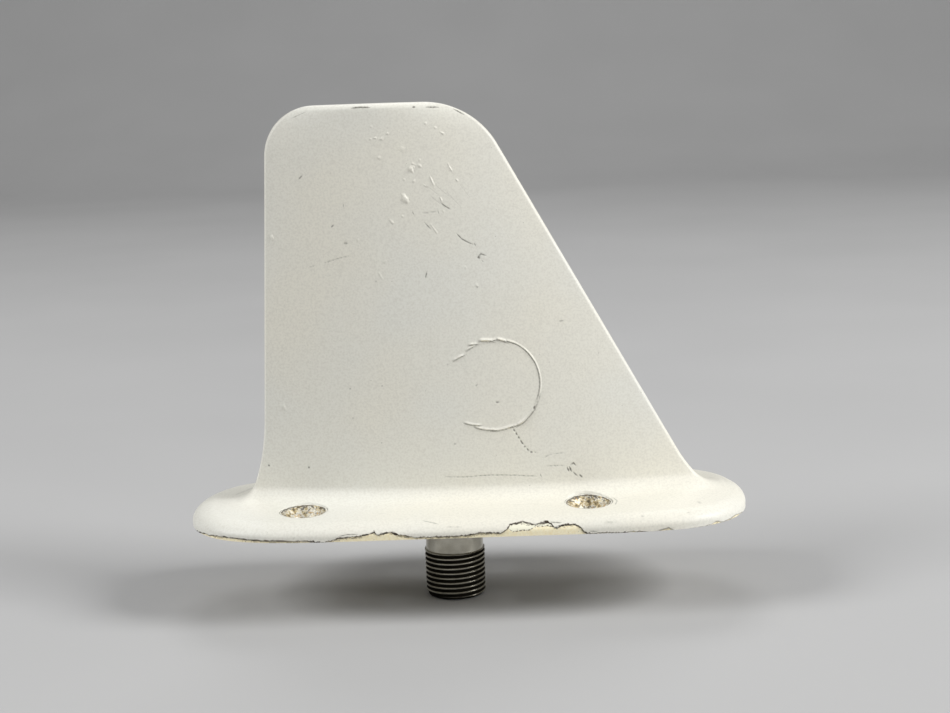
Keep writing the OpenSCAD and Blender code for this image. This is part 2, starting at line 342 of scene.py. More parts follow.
# Radome: the blade and its flange, one moulding of cream filled resin round all the metalwork, sprayed
# with off-white enamel. The blade's section is a lens. Its edges run out near the foot, and a fillet
# blends it into the flange. The paint is blistered, cracked, scratched and broken away along the rim.
low, high = [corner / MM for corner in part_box("radome")]
bush_low, bush_high = [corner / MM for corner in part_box("bush_fwd_left")]
blade_h = high.z
flange_aft = -low.x
flange_fwd = high.x
flange_w = high.y - low.y
flange_t = bush_high.z
bush_r = (bush_high.x - bush_low.x) / 2
bush_x = (bush_low.x + bush_high.x) / 2
bush_y = (bush_low.y + bush_high.y) / 2
bush_segments = 96
te_foot = 33.6
te_lean = math.radians(3.0)
le_foot = 48.0
le_sweep = math.radians(28.9)
aft_corner_r = 9.0
fwd_corner_r = 15.0
root_t = 10.0
tip_t = 5.2
tip_edge = 0.9
tip_land = 0.65
edge_r = 0.8
side_reach = 4.2
side_rise = 2.6
end_reach = 2.2
aft_flare = 4.6
aft_flare_h = 15.0
fwd_flare = 3.0
fwd_flare_h = 7.0
flare_stop = 0.97
flange_power = 6.8
flange_crown = 0.3
rim_round = 5.0
round_share = 0.7
rim_h = 0.8
end_sweep = math.radians(80)

foot_z = flange_t + flange_crown
rim_a = (flange_aft + flange_fwd) / 2
rim_b = flange_w / 2
rim_x = (flange_fwd - flange_aft) / 2


def te_line(z):
    return -te_foot + z * math.tan(te_lean)


def le_line(z):
    return le_foot - z * math.tan(le_sweep)


aft_cz = blade_h - aft_corner_r
aft_cx = te_line(aft_cz) + aft_corner_r / math.cos(te_lean)
fwd_cz = blade_h - fwd_corner_r
fwd_cx = le_line(fwd_cz) - fwd_corner_r / math.cos(le_sweep)
aft_tangent_z = aft_cz + aft_corner_r * math.sin(te_lean)
fwd_tangent_z = fwd_cz + fwd_corner_r * math.sin(le_sweep)


def flare(z, reach, height):
    """How far an edge of the blade runs out near its foot, along part of an ellipse."""
    share = flare_stop * np.clip(1 - (z - foot_z) / height, 0, 1)
    return reach * (1 - np.sqrt(1 - share**2))


def te(z):
    arc = np.sqrt(np.maximum(0, aft_corner_r**2 - (z - aft_cz) ** 2))
    return np.where(z < aft_tangent_z, te_line(z) - flare(z, aft_flare, aft_flare_h), aft_cx - arc)


def le(z):
    arc = np.sqrt(np.maximum(0, fwd_corner_r**2 - (z - fwd_cz) ** 2))
    return np.where(z < fwd_tangent_z, le_line(z) + flare(z, fwd_flare, fwd_flare_h), fwd_cx + arc)


def tip_round(z):
    share = np.maximum(0, z - blade_h + tip_edge) / tip_edge
    return np.sqrt(1 - (1 - tip_land**2) * np.minimum(1, share) ** 2)


def half_t(z):
    return (root_t + (tip_t - root_t) * z / blade_h) / 2 * tip_round(z)


def nose(z):
    return edge_r * tip_round(z)


def lens_slope(z):
    return 4 * (half_t(z) - nose(z)) / (le(z) - te(z) - 2 * nose(z))


# A ring of the skin runs round the aft nose, along the right side, round the forward nose and back
AFT, RIGHT, FWD, LEFT = range(4)
ring_steps = np.array([16, 120, 16, 40])
ring_starts = np.concatenate([[0], np.cumsum(ring_steps)])


def ring_stretch(column):
    """The stretch of the ring that a column is in, its share of it, and its share along the chord."""
    column = np.mod(column, ring_starts[-1])
    stretch = np.minimum(np.searchsorted(ring_starts, column, side="right") - 1, LEFT)
    share = (column - ring_starts[stretch]) / ring_steps[stretch]
    chord = np.select([stretch == AFT, stretch == FWD, stretch == LEFT], [0.0, 1.0, 1 - share], share)
    return stretch, share, chord


def facing(column, z):
    """Direction that the outline faces."""
    stretch, share, chord = ring_stretch(column)
    fan = math.pi / 2 - np.arctan(lens_slope(z))
    tilt = np.arctan(lens_slope(z) * (1 - 2 * chord))
    sway = fan * (2 * share - 1)
    return np.choose(stretch, [math.pi + sway, 1.5 * math.pi - tilt, sway, 0.5 * math.pi + tilt])


def skin(column, z, grow=0.0):
    """Point of the blade's skin at a height, grown outwards."""
    stretch, _, chord = ring_stretch(column)
    aft = te(z) + nose(z)
    x = aft + (le(z) - nose(z) - aft) * chord
    y = (half_t(z) - nose(z)) * 4 * chord * (1 - chord)
    turn = facing(column, z)
    out = nose(z) + grow
    y = np.where(stretch == RIGHT, -y, y)
    return np.stack([x + out * np.cos(turn), y + out * np.sin(turn), z], 1)


def edge_on(column):
    """1 where the foot of the blade faces forward or aft, 0 where it faces sideways."""
    return np.cos(facing(column, np.full(len(column), foot_z))) ** 2


def fillet(column, angle):
    """Point of the root fillet, a quarter ellipse in section."""
    reach = side_reach + (end_reach - side_reach) * edge_on(column)
    return skin(column, foot_z + side_rise * (1 - np.sin(angle)), reach * (1 - np.cos(angle)))


def rim(column):
    """Point of the flange's outline, a superellipse."""
    stretch, share, chord = ring_stretch(column)
    sweep = end_sweep * (2 * share - 1)
    nose_x = rim_a * np.abs(np.cos(sweep)) ** (2 / flange_power)
    along = (2 * chord - 1) * math.cos(end_sweep) ** (2 / flange_power)
    side_y = rim_b * np.sqrt(1 - np.abs(along) ** flange_power)
    x = np.choose(stretch, [-nose_x, rim_a * along, nose_x, rim_a * along])
    y = np.choose(stretch, [-rim_b * np.sin(sweep), -side_y, rim_b * np.sin(sweep), side_y])
    return np.stack([rim_x + x, y], 1)


def flange_top(column, inset, z):
    """Point of the flange's top, this far in from the rim."""
    edge = rim(column)
    foot = fillet(column, np.full(len(column), math.pi / 2))[:, :2]
    run = np.linalg.norm(edge - foot, axis=1)
    width = np.minimum(rim_round, round_share * run)
    place = edge + (foot - edge) * (inset(run, width) / run)[:, None]
    return np.column_stack([place, z])


# Down a column the rows pass the tip, the corners, the straight part, the fillet, the crown of the
# flange, its rounded edge and the upright wall under that
row_steps = np.array([8, 14, 54, 12, 8, 16, 5])
row_starts = np.concatenate([[0], np.cumsum(row_steps)])
corner_z = min(aft_tangent_z, fwd_tangent_z)
quarter = math.pi / 2
TIP, CORNER, STRAIGHT, FILLET, CROWN, EDGE, WALL = range(7)


def moulding(column, row):
    """Points of the moulding's outside, in millimetres."""
    stage = np.minimum(np.searchsorted(row_starts, row, side="right") - 1, WALL)
    share = (row - row_starts[stage]) / row_steps[stage]
    points = np.zeros((len(column), 3))
    for part in range(len(row_steps)):
        on = stage == part
        c, t = column[on], share[on]
        if not len(c):
            continue
        if part == TIP:
            points[on] = skin(c, blade_h - tip_edge * (1 - np.cos(quarter * t)))
        elif part == CORNER:
            points[on] = skin(c, blade_h - tip_edge + (corner_z - blade_h + tip_edge) * t)
        elif part == STRAIGHT:
            points[on] = skin(c, corner_z + (foot_z + side_rise - corner_z) * t)
        elif part == FILLET:
            points[on] = fillet(c, quarter * t)
        elif part == CROWN:
            crown_z = foot_z - flange_crown * t
            points[on] = flange_top(c, lambda run, width: run + (width - run) * t, crown_z)
        elif part == EDGE:
            fall = rim_h + (flange_t - rim_h) * np.cos(quarter * t)
            points[on] = flange_top(c, lambda run, width: width * (1 - np.sin(quarter * t)), fall)
        else:
            points[on] = np.column_stack([rim(c), rim_h * (1 - t)])
    return points


# Wear on the right face of the blade. Places are millimetres ahead of the origin and above the skin.
# A round ridge has lifted in the paint, torn into ripples at its open end. Each one runs between two
# directions from the middle of the round, in degrees, at a distance for each end, with its height, its
# half width and how far outside its top a dark line runs. That line is partly dirt in a crack and
# partly painted shadow, put on the side of the ripple that faces away from the lamps.
ring_x = 9.4
ring_z = 24.2
ripples = [
    (76, 58, 7.95, 8.05, 0.20, 0.16, -0.18), (66, -24, 8.05, 8.3, 0.16, 0.14, -0.15),
    (-15, -40, 8.25, 8.5, 0.18, 0.17, 0.17), (-31, -67, 8.4, 8.65, 0.30, 0.26, 0.30),
    (-52, -76, 8.75, 8.4, 0.20, 0.18, 0.20), (-67, -97, 8.3, 8.55, 0.26, 0.20, 0.22),
    (-89, -118, 8.35, 8.6, 0.24, 0.19, 0.22), (-107, -131, 7.8, 9.0, 0.17, 0.18, 0.2),
    (110, 87, 8.3, 7.55, 0.32, 0.22, -0.24), (96, 83, 7.6, 8.05, 0.24, 0.18, -0.20),
    (88, 69, 8.1, 7.7, 0.28, 0.20, -0.22), (124, 108, 8.5, 7.6, 0.24, 0.20, -0.22),
    (131, 113, 7.85, 7.7, 0.16, 0.18, -0.20), (133, 151, 7.4, 8.6, 0.24, 0.19, -0.20),
]
# Dark line beside each ripple, partly crack dirt and partly painted shadow: half width, darkness,
# break-up
crack_and_shadow_half = 0.08
crack_and_shadow_dark = 0.8
crack_and_shadow_broken = 0.3
# Blisters: place, half length, half width, lean in degrees and height
blisters = [
    (-10.8, 70.5, 0.3, 0.25, 0, 0.07), (-11, 68.3, 0.25, 0.2, 0, 0.07),
    (-10.2, 68.5, 0.3, 0.2, 20, 0.09), (-9.1, 68.3, 0.4, 0.3, 40, 0.12),
    (-8, 69.2, 0.35, 0.25, 30, 0.10), (-1.3, 70.7, 0.35, 0.25, 0, 0.10),
    (0.4, 69.9, 0.35, 0.25, 0, 0.10), (1.6, 68.9, 0.4, 0.25, -30, 0.10),
    (-5.5, 66.4, 0.75, 0.6, 0, 0.06), (-9.7, 65.0, 0.4, 0.25, 0, 0.11),
    (-2.5, 64.4, 0.3, 0.25, 0, 0.07), (-4.1, 62.9, 0.7, 0.5, 60, 0.24),
    (-2.5, 63.3, 0.4, 0.35, 0, 0.11), (-3.6, 63.7, 0.5, 0.2, -10, 0.10),
    (-5.4, 61.1, 0.35, 0.25, 0, 0.07), (-3.7, 60.7, 0.4, 0.2, 50, 0.09),
    (-0.5, 60.6, 0.95, 0.2, -68, 0.12), (-1.6, 59.8, 0.6, 0.15, -20, 0.07),
    (2.8, 62.7, 0.85, 0.2, -62, 0.12), (3.9, 60.6, 0.4, 0.25, -20, 0.12),
    (-5.4, 57.7, 1, 0.55, -60, 0.24), (-5.9, 54.6, 0.3, 0.25, 0, 0.09),
    (-7.9, 53.7, 0.7, 0.25, -45, 0.10), (1, 57.3, 0.65, 0.2, -65, 0.10),
    (1.3, 55.2, 0.3, 0.25, 0, 0.07), (-14, 50.6, 0.3, 0.25, 0, 0.06), (-9.4, 46.7, 0.5, 0.4, 0, 0.05),
    (-10.2, 44.1, 0.95, 0.25, -60, 0.05), (4.9, 45.1, 0.4, 0.35, 0, 0.06),
    (6.8, 41.9, 0.35, 0.3, 0, 0.09), (-29.4, 51.4, 0.65, 0.25, -70, 0.14),
    (-28.8, 20.5, 0.75, 0.35, -75, 0.10), (-0.4, 52.1, 1.3, 0.2, -56, 0.07),
]
# Cracks and scratches that hold dirt, later joined by the ripples' lines of painted shadow: a line,
# its half width, how dark it is and how far it breaks up
scratches_and_ridge_shadows = [
    ([(12.2, 16.2), (12.8, 15.2), (13.6, 13.8), (14.4, 12.5), (15.4, 11.4), (16.4, 11.3)],
     0.12, 1.0, 1.0),
    ([(17.7, 10.2), (19, 10.8), (21.8, 11.0)], 0.07, 0.45, 0.6),
    ([(18.3, 8.7), (21.9, 8.6)], 0.08, 0.6, 0.6), ([(22.0, 8.3), (22.3, 7.5)], 0.11, 1.0, 0.0),
    ([(22.4, 8.4), (22.8, 7.4)], 0.12, 1.0, 0.0),
    ([(22.7, 8.7), (23.2, 9.0), (23.6, 8.5)], 0.11, 1.0, 0.0),
    ([(23.1, 7.3), (23.8, 6.6)], 0.11, 1.0, 0.2), ([(24.2, 6.8), (24.7, 6.3)], 0.12, 1.0, 0.0),
    ([(-0.1, 7.4), (4.1, 7.3), (8.3, 7.5), (12.2, 7.3), (16.5, 6.9)], 0.07, 0.75, 0.5),
    ([(16.4, 19.1), (15.6, 18.0), (14.5, 16.9), (13.4, 16.2)], 0.11, 0.85, 0.0),
    ([(17.1, 7.3), (17.3, 6.7)], 0.07, 0.7, 0), ([(25.9, 12.2), (27, 12.8)], 0.11, 0.6, 1),
    ([(9.5, 20.7), (10.1, 20.7)], 0.13, 0.95, 0.0), ([(6, 23.8), (6.3, 24.1)], 0.09, 0.6, 0),
    ([(16.2, 19.2), (16.6, 19.8)], 0.16, 1.0, 0.0), ([(1.7, 13.4), (2.1, 13.4)], 0.08, 0.6, 0),
    ([(21.3, 34.7), (22.1, 34.8)], 0.09, 0.6, 0), ([(1, 27.8), (1.2, 28.0)], 0.10, 0.4, 0),
    ([(-24.1, 61.6), (-23.4, 62.3)], 0.10, 0.75, 0), ([(-16.4, 56.5), (-16.3, 57.1)], 0.07, 0.5, 0),
    ([(-18.7, 53.0), (-18.2, 53.4)], 0.11, 0.8, 0), ([(-16.5, 50.1), (-15.9, 50.1)], 0.19, 0.7, 0.3),
    ([(-20.1, 46.7), (-17.8, 47.4), (-15.5, 47.9)], 0.08, 0.55, 0.5),
    ([(-23.1, 45.9), (-22, 46.2)], 0.07, 0.4, 0), ([(-2.3, 43.5), (-2, 44.6)], 0.09, 0.85, 0),
    ([(0.9, 56.7), (1.8, 56.0), (2.6, 55.5)], 0.09, 0.9, 0),
    ([(-2.3, 55.0), (0.4, 55.3)], 0.07, 0.5, 0.4), ([(0.3, 55.4), (0.5, 54.8)], 0.07, 0.6, 0),
    ([(-2.1, 53.4), (-1.0, 52.1)], 0.08, 0.7, 0.2),
    ([(3.5, 51.2), (4.4, 50.2), (5.6, 49.5), (6.3, 49.2)], 0.09, 0.9, 0.1),
    ([(6.6, 49.4), (6.8, 48.8)], 0.07, 0.7, 0), ([(7.2, 47.0), (7.7, 47.4), (8.6, 47.1)], 0.10, 0.9, 0),
    ([(7.1, 46.8), (7.5, 46.9)], 0.22, 1.0, 0.0), ([(7.8, 46.2), (8.1, 46.0)], 0.08, 0.5, 0),
    ([(-4.2, 55.4), (-3.9, 54.8)], 0.07, 0.5, 0), ([(6.7, 41.5), (7, 41.5)], 0.10, 0.5, 0),
    ([(-11.2, 43.1), (-11, 43.2)], 0.10, 0.6, 0), ([(-16.7, 23.8), (-16.5, 24.0)], 0.10, 0.6, 0),
    ([(-16.4, 18.4), (-16.2, 18.6)], 0.10, 0.5, 0), ([(-32.3, 9.6), (-32.1, 9.8)], 0.17, 1.0, 0.0),
    ([(-24.9, 9.3), (-24.7, 9.5)], 0.17, 1.0, 0.0), ([(-10.9, 24.2), (-10.7, 24.4)], 0.09, 0.5, 0),
    ([(-11.4, 13.8), (-11.2, 14.0)], 0.09, 0.5, 0), ([(-2, 60.3), (0.8, 57.9)], 0.07, 0.22, 0.4),
    ([(0.1, 59.8), (2.9, 57.4)], 0.07, 0.2, 0.4), ([(1.8, 58.8), (4.2, 56.1)], 0.07, 0.2, 0.4),
    ([(-1, 58.1), (1.8, 55.7)], 0.07, 0.22, 0.4), ([(4.3, 59.9), (6, 57.5)], 0.07, 0.16, 0.4),
]
# Chips along the crisp edge of the top, in the same terms
top_chips = [
    ([(-14.2, 73.8), (-12.6, 73.9), (-10.9, 73.8)], 0.13, 1.0, 0.2),
    ([(-3.5, 73.6), (-3.0, 73.6)], 0.13, 1.0, 0.0), ([(-1.1, 73.5), (1.1, 73.4)], 0.12, 1.0, 0.4),
    ([(3.7, 73.0), (5.6, 71.9)], 0.10, 0.9, 0.3), ([(8.0, 70.4), (9.5, 68.8)], 0.07, 0.5, 0.3),
    ([(-24.9, 72.3), (-22.2, 73.4)], 0.06, 0.5, 0.4),
]
# Scratches on the flange, and one line of painted shade at the foot of the trailing edge; places are
# ahead of the origin and to the left of it
flange_scratches_and_shade = [
    ([(-4.1, -16.8), (-1.2, -18.0)], 0.13, 0.45, 0.2), ([(0.1, -18.6), (2.9, -18.7)], 0.10, 0.30, 0.5),
    ([(44.7, -11.2), (45.0, -12.6)], 0.16, 0.55, 0.2), ([(42.2, -16.2), (42.4, -16.6)], 0.2, 0.3, 0.0),
    ([(34.0, -17.7), (34.5, -17.9)], 0.2, 0.3, 0.0), ([(27.5, -18.8), (29.6, -18.8)], 0.16, 0.25, 0.6),
    ([(-12.4, -12.6), (-10.6, -12.9)], 0.20, 0.14, 0.6),
    ([(11.4, -10.0), (16.7, -10.0)], 0.16, 0.14, 0.6),
    # Painted shade: a grey line where the fillet at the trailing edge's foot turns from the light
    ([(-39.2, 3.7), (-37.7, 6.6), (-36.5, 9.3)], 0.35, 0.22, 0.2),
    ([(-31.0, -14.0), (-30.6, -14.1)], 0.14, 0.3, 0.0),
    ([(30.0, -11.9), (30.5, -9.6), (29.9, -7.4)], 0.10, 0.6, 0.2),
]
# Cracks that run on through the paint from the broken edge, along and up the rim
rim_cracks = [
    ([(18.0, 2.15), (20.2, 2.0)], 0.07, 0.8, 0.2), ([(25.0, 0.5), (26.2, 0.4)], 0.12, 0.8, 0.4),
    ([(-18.6, 1.0), (-17.0, 1.3), (-15.2, 1.25)], 0.07, 0.8, 0.2),
]
# Height that the bare resin reaches up the right rim, against the place along it
chip_line = [
    (-46.5, -0.4), (-43.0, 0.3), (-40.4, 0.5), (-36.8, 0.6), (-33.4, 0.4), (-28.9, 0.3), (-24.3, 0.25),
    (-21.0, -0.1), (-19.7, 0.3), (-18.2, 0.6), (-16.0, 0.8), (-14.6, 0.9), (-13.4, 1.1), (-12.4, 1.5),
    (-11.8, 1.0), (-9.4, 1.4), (-8.2, 0.9), (-6.5, 0.6), (-5.2, 0.3), (-2.6, 0.3), (1.7, 0.3),
    (3.4, 0.4), (6.5, 0.8), (9.5, 0.6), (10.6, 1.2), (11.2, 1.9), (13.4, 2.2), (15.6, 1.8), (16.4, 2.1),
    (17.8, 2.15), (18.4, 1.7), (18.9, 1.3), (21.3, 1.7), (22.4, 1.65), (23.5, 1.1), (24.0, 0.3),
    (25.0, 0.0), (34.0, 0.0), (36.4, -0.2), (37.4, 0.1), (38.9, 0.5), (39.2, 0.0), (40.5, -0.3),
    (46.0, -0.1), (47.6, 0.5), (48.4, 0.0), (50.0, 0.1), (51.4, 0.4), (53.0, 0.0), (54.5, -0.6),
]
# Ragged waves in that edge, each with its height and its fineness
chip_rags = [(0.14, 0.9), (0.14, 2.6), (0.09, 6.0)]
chip_depth = 0.15
chip_soft = 0.08
# Inside the largest chip a skin of white primer has held on above this height
primer_line = [
    (9.0, 4.0), (11.4, 0.8), (13.3, 1.0), (14.8, 1.1), (15.3, 1.5), (17.9, 1.6), (18.6, 1.5),
    (19.2, 4.0),
]


def ripple_line(start, end, start_r, end_r, points=40):
    """Line of one ripple, as places on the face."""
    turns = np.radians(np.linspace(start, end, points))
    reach = np.linspace(start_r, end_r, points)
    return np.stack([ring_x + reach * np.cos(turns), ring_z + reach * np.sin(turns)], 1)


ridge_lines = [(ripple_line(*ripple[:4]), ripple[4], ripple[5]) for ripple in ripples]
# Each ripple's dark line joins the scratches, partly as dirt in a crack and partly as painted shadow
for start, end, start_r, end_r, _, _, crack_and_shadow_offset in ripples:
    crack_and_shadow_line = ripple_line(start, end, start_r + crack_and_shadow_offset, end_r + crack_and_shadow_offset)
    scratches_and_ridge_shadows.append((crack_and_shadow_line, crack_and_shadow_half, crack_and_shadow_dark, crack_and_shadow_broken))

far = 1e6


def off_line(x, z, line):
    """Distance of each place from a line, the way along it to its nearest end, and its length."""
    line = np.array(line)
    lengths = np.concatenate([[0], np.cumsum(np.linalg.norm(np.diff(line, axis=0), axis=1))])
    gap = np.full(len(x), far)
    along = np.zeros(len(x))
    for start, end, run in zip(line[:-1], line[1:], lengths[:-1]):
        step = end - start
        t = np.clip(((x - start[0]) * step[0] + (z - start[1]) * step[1]) / (step @ step), 0, 1)
        here = np.hypot(x - start[0] - t * step[0], z - start[1] - t * step[1])
        nearer = here < gap
        gap = np.where(nearer, here, gap)
        along = np.where(nearer, run + t * np.linalg.norm(step), along)
    return gap, np.minimum(along, lengths[-1] - along), lengths[-1]


def off_blister(x, z, blister):
    """Distance from a blister's middle, 1 at its edge."""
    lean = math.radians(blister[4])
    dx, dz = x - blister[0], z - blister[1]
    along = (dx * math.cos(lean) + dz * math.sin(lean)) / blister[2]
    across = (dz * math.cos(lean) - dx * math.sin(lean)) / blister[3]
    return np.hypot(along, across)


seed_steps = (17.3, 5.1, 9.7)


def grain_at(points, scale, seed):
    """Noise at each point, about -1 to 1."""
    offset = Vector([seed * step for step in seed_steps])
    return np.array([noise.noise(Vector(point) * scale + offset) for point in points])


# How dirt and painted shade break up along a line and thin towards its ends
dirt_and_shade_grain = 2.8
dot_pitch = 0.8
dot_wander = 1.2
dot_edges = (-0.2, 0.6)
taper = 0.5
taper_share = 0.3
tip_share = 0.5
line_rag = 0.4


def darkness(points, x, z, lines):
    """How dark a set of lines of soiling and painted shade is, drawn on two of the directions."""
    dark = np.zeros(len(points))
    ragged = grain_at(points, dirt_and_shade_grain, 6)
    for line, wide, strong, broken in lines:
        gap, along, length = off_line(x, z, line)
        dots = np.cos(2 * math.pi * along / dot_pitch + dot_wander * ragged)
        kept = 1 - broken * (1 - smooth(dots, *dot_edges))
        tip = tip_share + (1 - tip_share) * smooth(along, 0, min(taper, taper_share * length))
        spread = wide * tip * (1 + line_rag * ragged)
        dark = np.maximum(dark, strong * kept * tip * np.exp(-((gap / spread) ** 2)))
    return dark


# Bounds of the worn parts of the skin
on_face_y = -0.7
face_low = 5.0
flange_slack = 0.2
rim_y = -14.5
rim_ends = (-38.0, 42.0)


def on_face(points):
    return (points[:, 1] < on_face_y) & (points[:, 2] > face_low)


def on_flange(points):
    return (points[:, 2] < foot_z + flange_slack) & (points[:, 2] > rim_h)


def on_rim(points):
    x, y, z = points.T
    return (z < flange_t) & (y < 0) & ((y < rim_y) | (x < rim_ends[0]) | (x > rim_ends[1]))


def bareness(points):
    """How far a point of the rim lies below the broken edge of the paint, in millimetres."""
    x, _, z = points.T
    places, heights = np.array(chip_line).T
    edge = np.interp(x, places, heights)
    ragged = sum(tall * grain_at(points, grain, k + 1) for k, (tall, grain) in enumerate(chip_rags))
    return edge + ragged - z


# How uneven the ridges and blisters are, and the depth of the darkest scratch
ridge_end = 0.9
ridge_mean = 0.9
ridge_wobble = 0.35
ridge_grain = 0.8
blister_rag = 0.55
blister_grain = 1.7
blister_crest = 0.1
blister_foot = 1.15
scratch_depth = 0.05


def relief(points):
    """Height of the paint's surface above the moulded shape, in millimetres."""
    height = np.zeros(len(points))
    face = on_face(points)
    x, _, z = points[face].T
    raised = np.zeros(len(x))
    wobble = ridge_mean + ridge_wobble * grain_at(points[face], ridge_grain, 4)
    ragged = 1 + blister_rag * grain_at(points[face], blister_grain, 5)
    for line, tall, wide in ridge_lines:
        gap, along, _ = off_line(x, z, line)
        ridge = tall * smooth(along, 0, ridge_end) * wobble * np.exp(-((gap / wide) ** 2))
        raised = np.maximum(raised, ridge)
    for blister in blisters:
        fall = smooth(off_blister(x, z, blister) * ragged, blister_crest, blister_foot)
        raised = np.maximum(raised, blister[5] * (1 - fall))
    for line, wide, dark, _ in scratches_and_ridge_shadows + top_chips:
        gap, _, _ = off_line(x, z, line)
        raised = raised - scratch_depth * dark * np.exp(-((gap / wide) ** 2))
    height[face] = raised
    edge = on_rim(points)
    height[edge] = -chip_depth * smooth(bareness(points[edge]), -chip_soft, chip_soft)
    return height


# Sizes of the skin's cells, and how far from each mark the fine ones reach
fine = 0.085
rim_fine = 1.3 * fine
ridge_band = 0.32
blister_band = 1.1
line_band = 0.12
chip_band = 0.25
bore_fine = 0.25
grading = 1.2
coarse = 2.2
bush_places = [(end * bush_x, side * bush_y) for end in (-1, 1) for side in (-1, 1)]


def wanted(points):
    """Largest cell that a place may have, in millimetres."""
    size = np.full(len(points), coarse)
    x, y, z = points.T
    face = on_face(points)
    flange = on_flange(points)
    edge = on_rim(points)

    def no_larger(where, gap, limit=fine):
        size[where] = np.minimum(size[where], limit + grading * np.maximum(0, gap))

    for line, _, _ in ridge_lines:
        no_larger(face, off_line(x[face], z[face], line)[0] - ridge_band)
    for blister in blisters:
        no_larger(face, (off_blister(x[face], z[face], blister) - blister_band) * blister[3])
    for line, _, _, _ in scratches_and_ridge_shadows + top_chips:
        no_larger(face, off_line(x[face], z[face], line)[0] - line_band)
    for line, wide, _, _ in flange_scratches_and_shade:
        no_larger(flange, off_line(x[flange], y[flange], line)[0] - wide, rim_fine)
    for line, wide, _, _ in rim_cracks:
        no_larger(edge, off_line(x[edge], z[edge], line)[0] - wide)
    no_larger(edge, np.abs(bareness(points[edge])) - chip_band, rim_fine)
    for place_x, place_y in bush_places:
        off_bush = np.hypot(x[flange] - place_x, y[flange] - place_y)
        no_larger(flange, np.abs(off_bush - bush_r), bore_fine)
    return size


# The skin is cut into cells, and each cell that is too large for the wear on it is split in four
finest = 8
columns = ring_starts[-1] * finest
rows = row_starts[-1] * finest
cell_columns, cell_rows = np.meshgrid(np.arange(0, columns, finest), np.arange(0, rows, finest),
                                      indexing="ij")
cells = np.stack([cell_columns.ravel(), cell_rows.ravel()], 1)
leaves = []
size = finest
while size > 1:
    middle = moulding((cells[:, 0] + size / 2) / finest, (cells[:, 1] + size / 2) / finest)
    corner = moulding(cells[:, 0] / finest, cells[:, 1] / finest)
    span = np.abs(middle - corner).max(1) * 2
    split = span > wanted(middle)
    leaves += [(column, row, size) for column, row in cells[~split]]
    half = size // 2
    cells = np.concatenate([cells[split] + (a, b) for a in (0, half) for b in (0, half)])
    size = half
leaves += [(column, row, 1) for column, row in cells]

keys = {}
for column, row, size in leaves:
    for a in (0, size):
        for b in (0, size):
            keys.setdefault(((column + a) % columns, row + b), len(keys))
faces = []
for column, row, size in leaves:
    walk = [(column, row + k) for k in range(size)]
    walk += [(column + k, row + size) for k in range(size)]
    walk += [(column + size, row + size - k) for k in range(size)]
    walk += [(column + size - k, row) for k in range(size)]
    spots = [(a % columns, b) for a, b in walk]
    faces.append([keys[spot] for spot in spots if spot in keys])
faces.append([keys[(column, 0)] for column in range(columns) if (column, 0) in keys])
faces.append([keys[(column, rows)] for column in range(columns - 1, -1, -1) if (column, rows) in keys])

grid = np.array(list(keys), float) / finest
nudge = 0.02
tiny = 1e-12
points = moulding(grid[:, 0], grid[:, 1])
round_step = moulding(grid[:, 0] + nudge, grid[:, 1]) - moulding(grid[:, 0] - nudge, grid[:, 1])
lowest = float(row_starts[-1])
down_step = moulding(grid[:, 0], np.minimum(grid[:, 1] + nudge, lowest))
down_step = down_step - moulding(grid[:, 0], np.maximum(grid[:, 1] - nudge, 0.0))
outward = np.cross(down_step, round_step)
outward /= np.maximum(tiny, np.linalg.norm(outward, axis=1))[:, None]
points = points + outward * relief(points)[:, None]

enamel, place = new_finish("worn_enamel")
radome = new_piece("painted_radome", points, faces, enamel, sharp=50)


def cut_away(piece, points, faces):
    """Takes a closed shape, in millimetres, out of a piece."""
    cutter = new_piece("cutter", points, faces, enamel)
    change = piece.modifiers.new("cut", "BOOLEAN")
    change.solver = "MANIFOLD"
    change.object = cutter
    bpy.context.view_layer.objects.active = piece
    bpy.ops.object.modifier_apply(modifier=change.name)
    bpy.data.objects.remove(cutter)


def upright(outline, low, high):
    """Points and faces of an outline carried straight up."""
    count = len(outline)
    points = [(x, y, low) for x, y in outline] + [(x, y, high) for x, y in outline]
    faces = [list(range(count)), list(range(2 * count - 1, count - 1, -1))]
    faces += [(k, (k + 1) % count, count + (k + 1) % count, count + k) for k in range(count)]
    return points, faces


def circle(x, y, radius, segments):
    turns = np.linspace(0, 2 * math.pi, segments, endpoint=False)
    return [(x + radius * math.cos(turn), y + radius * math.sin(turn)) for turn in turns]


below = 1.0
plate_low, plate_high = [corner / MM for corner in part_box("base_plate")]
plate_r = plate_high.y
plate_steps = 32
plate_turn = np.linspace(-quarter, quarter, plate_steps + 1)
plate_end = [(plate_r * math.cos(turn), plate_r * math.sin(turn)) for turn in plate_turn]
recess = [(plate_high.x - plate_r + x, y) for x, y in plate_end]
recess += [(plate_low.x + plate_r - x, -y) for x, y in plate_end]
cut_away(radome, *upright(recess, -below, plate_t))
for place_x, place_y in bush_places:
    bore = circle(place_x, place_y, bush_r, bush_segments)
    cut_away(radome, *upright(bore, plate_t / 2, foot_z + side_rise))

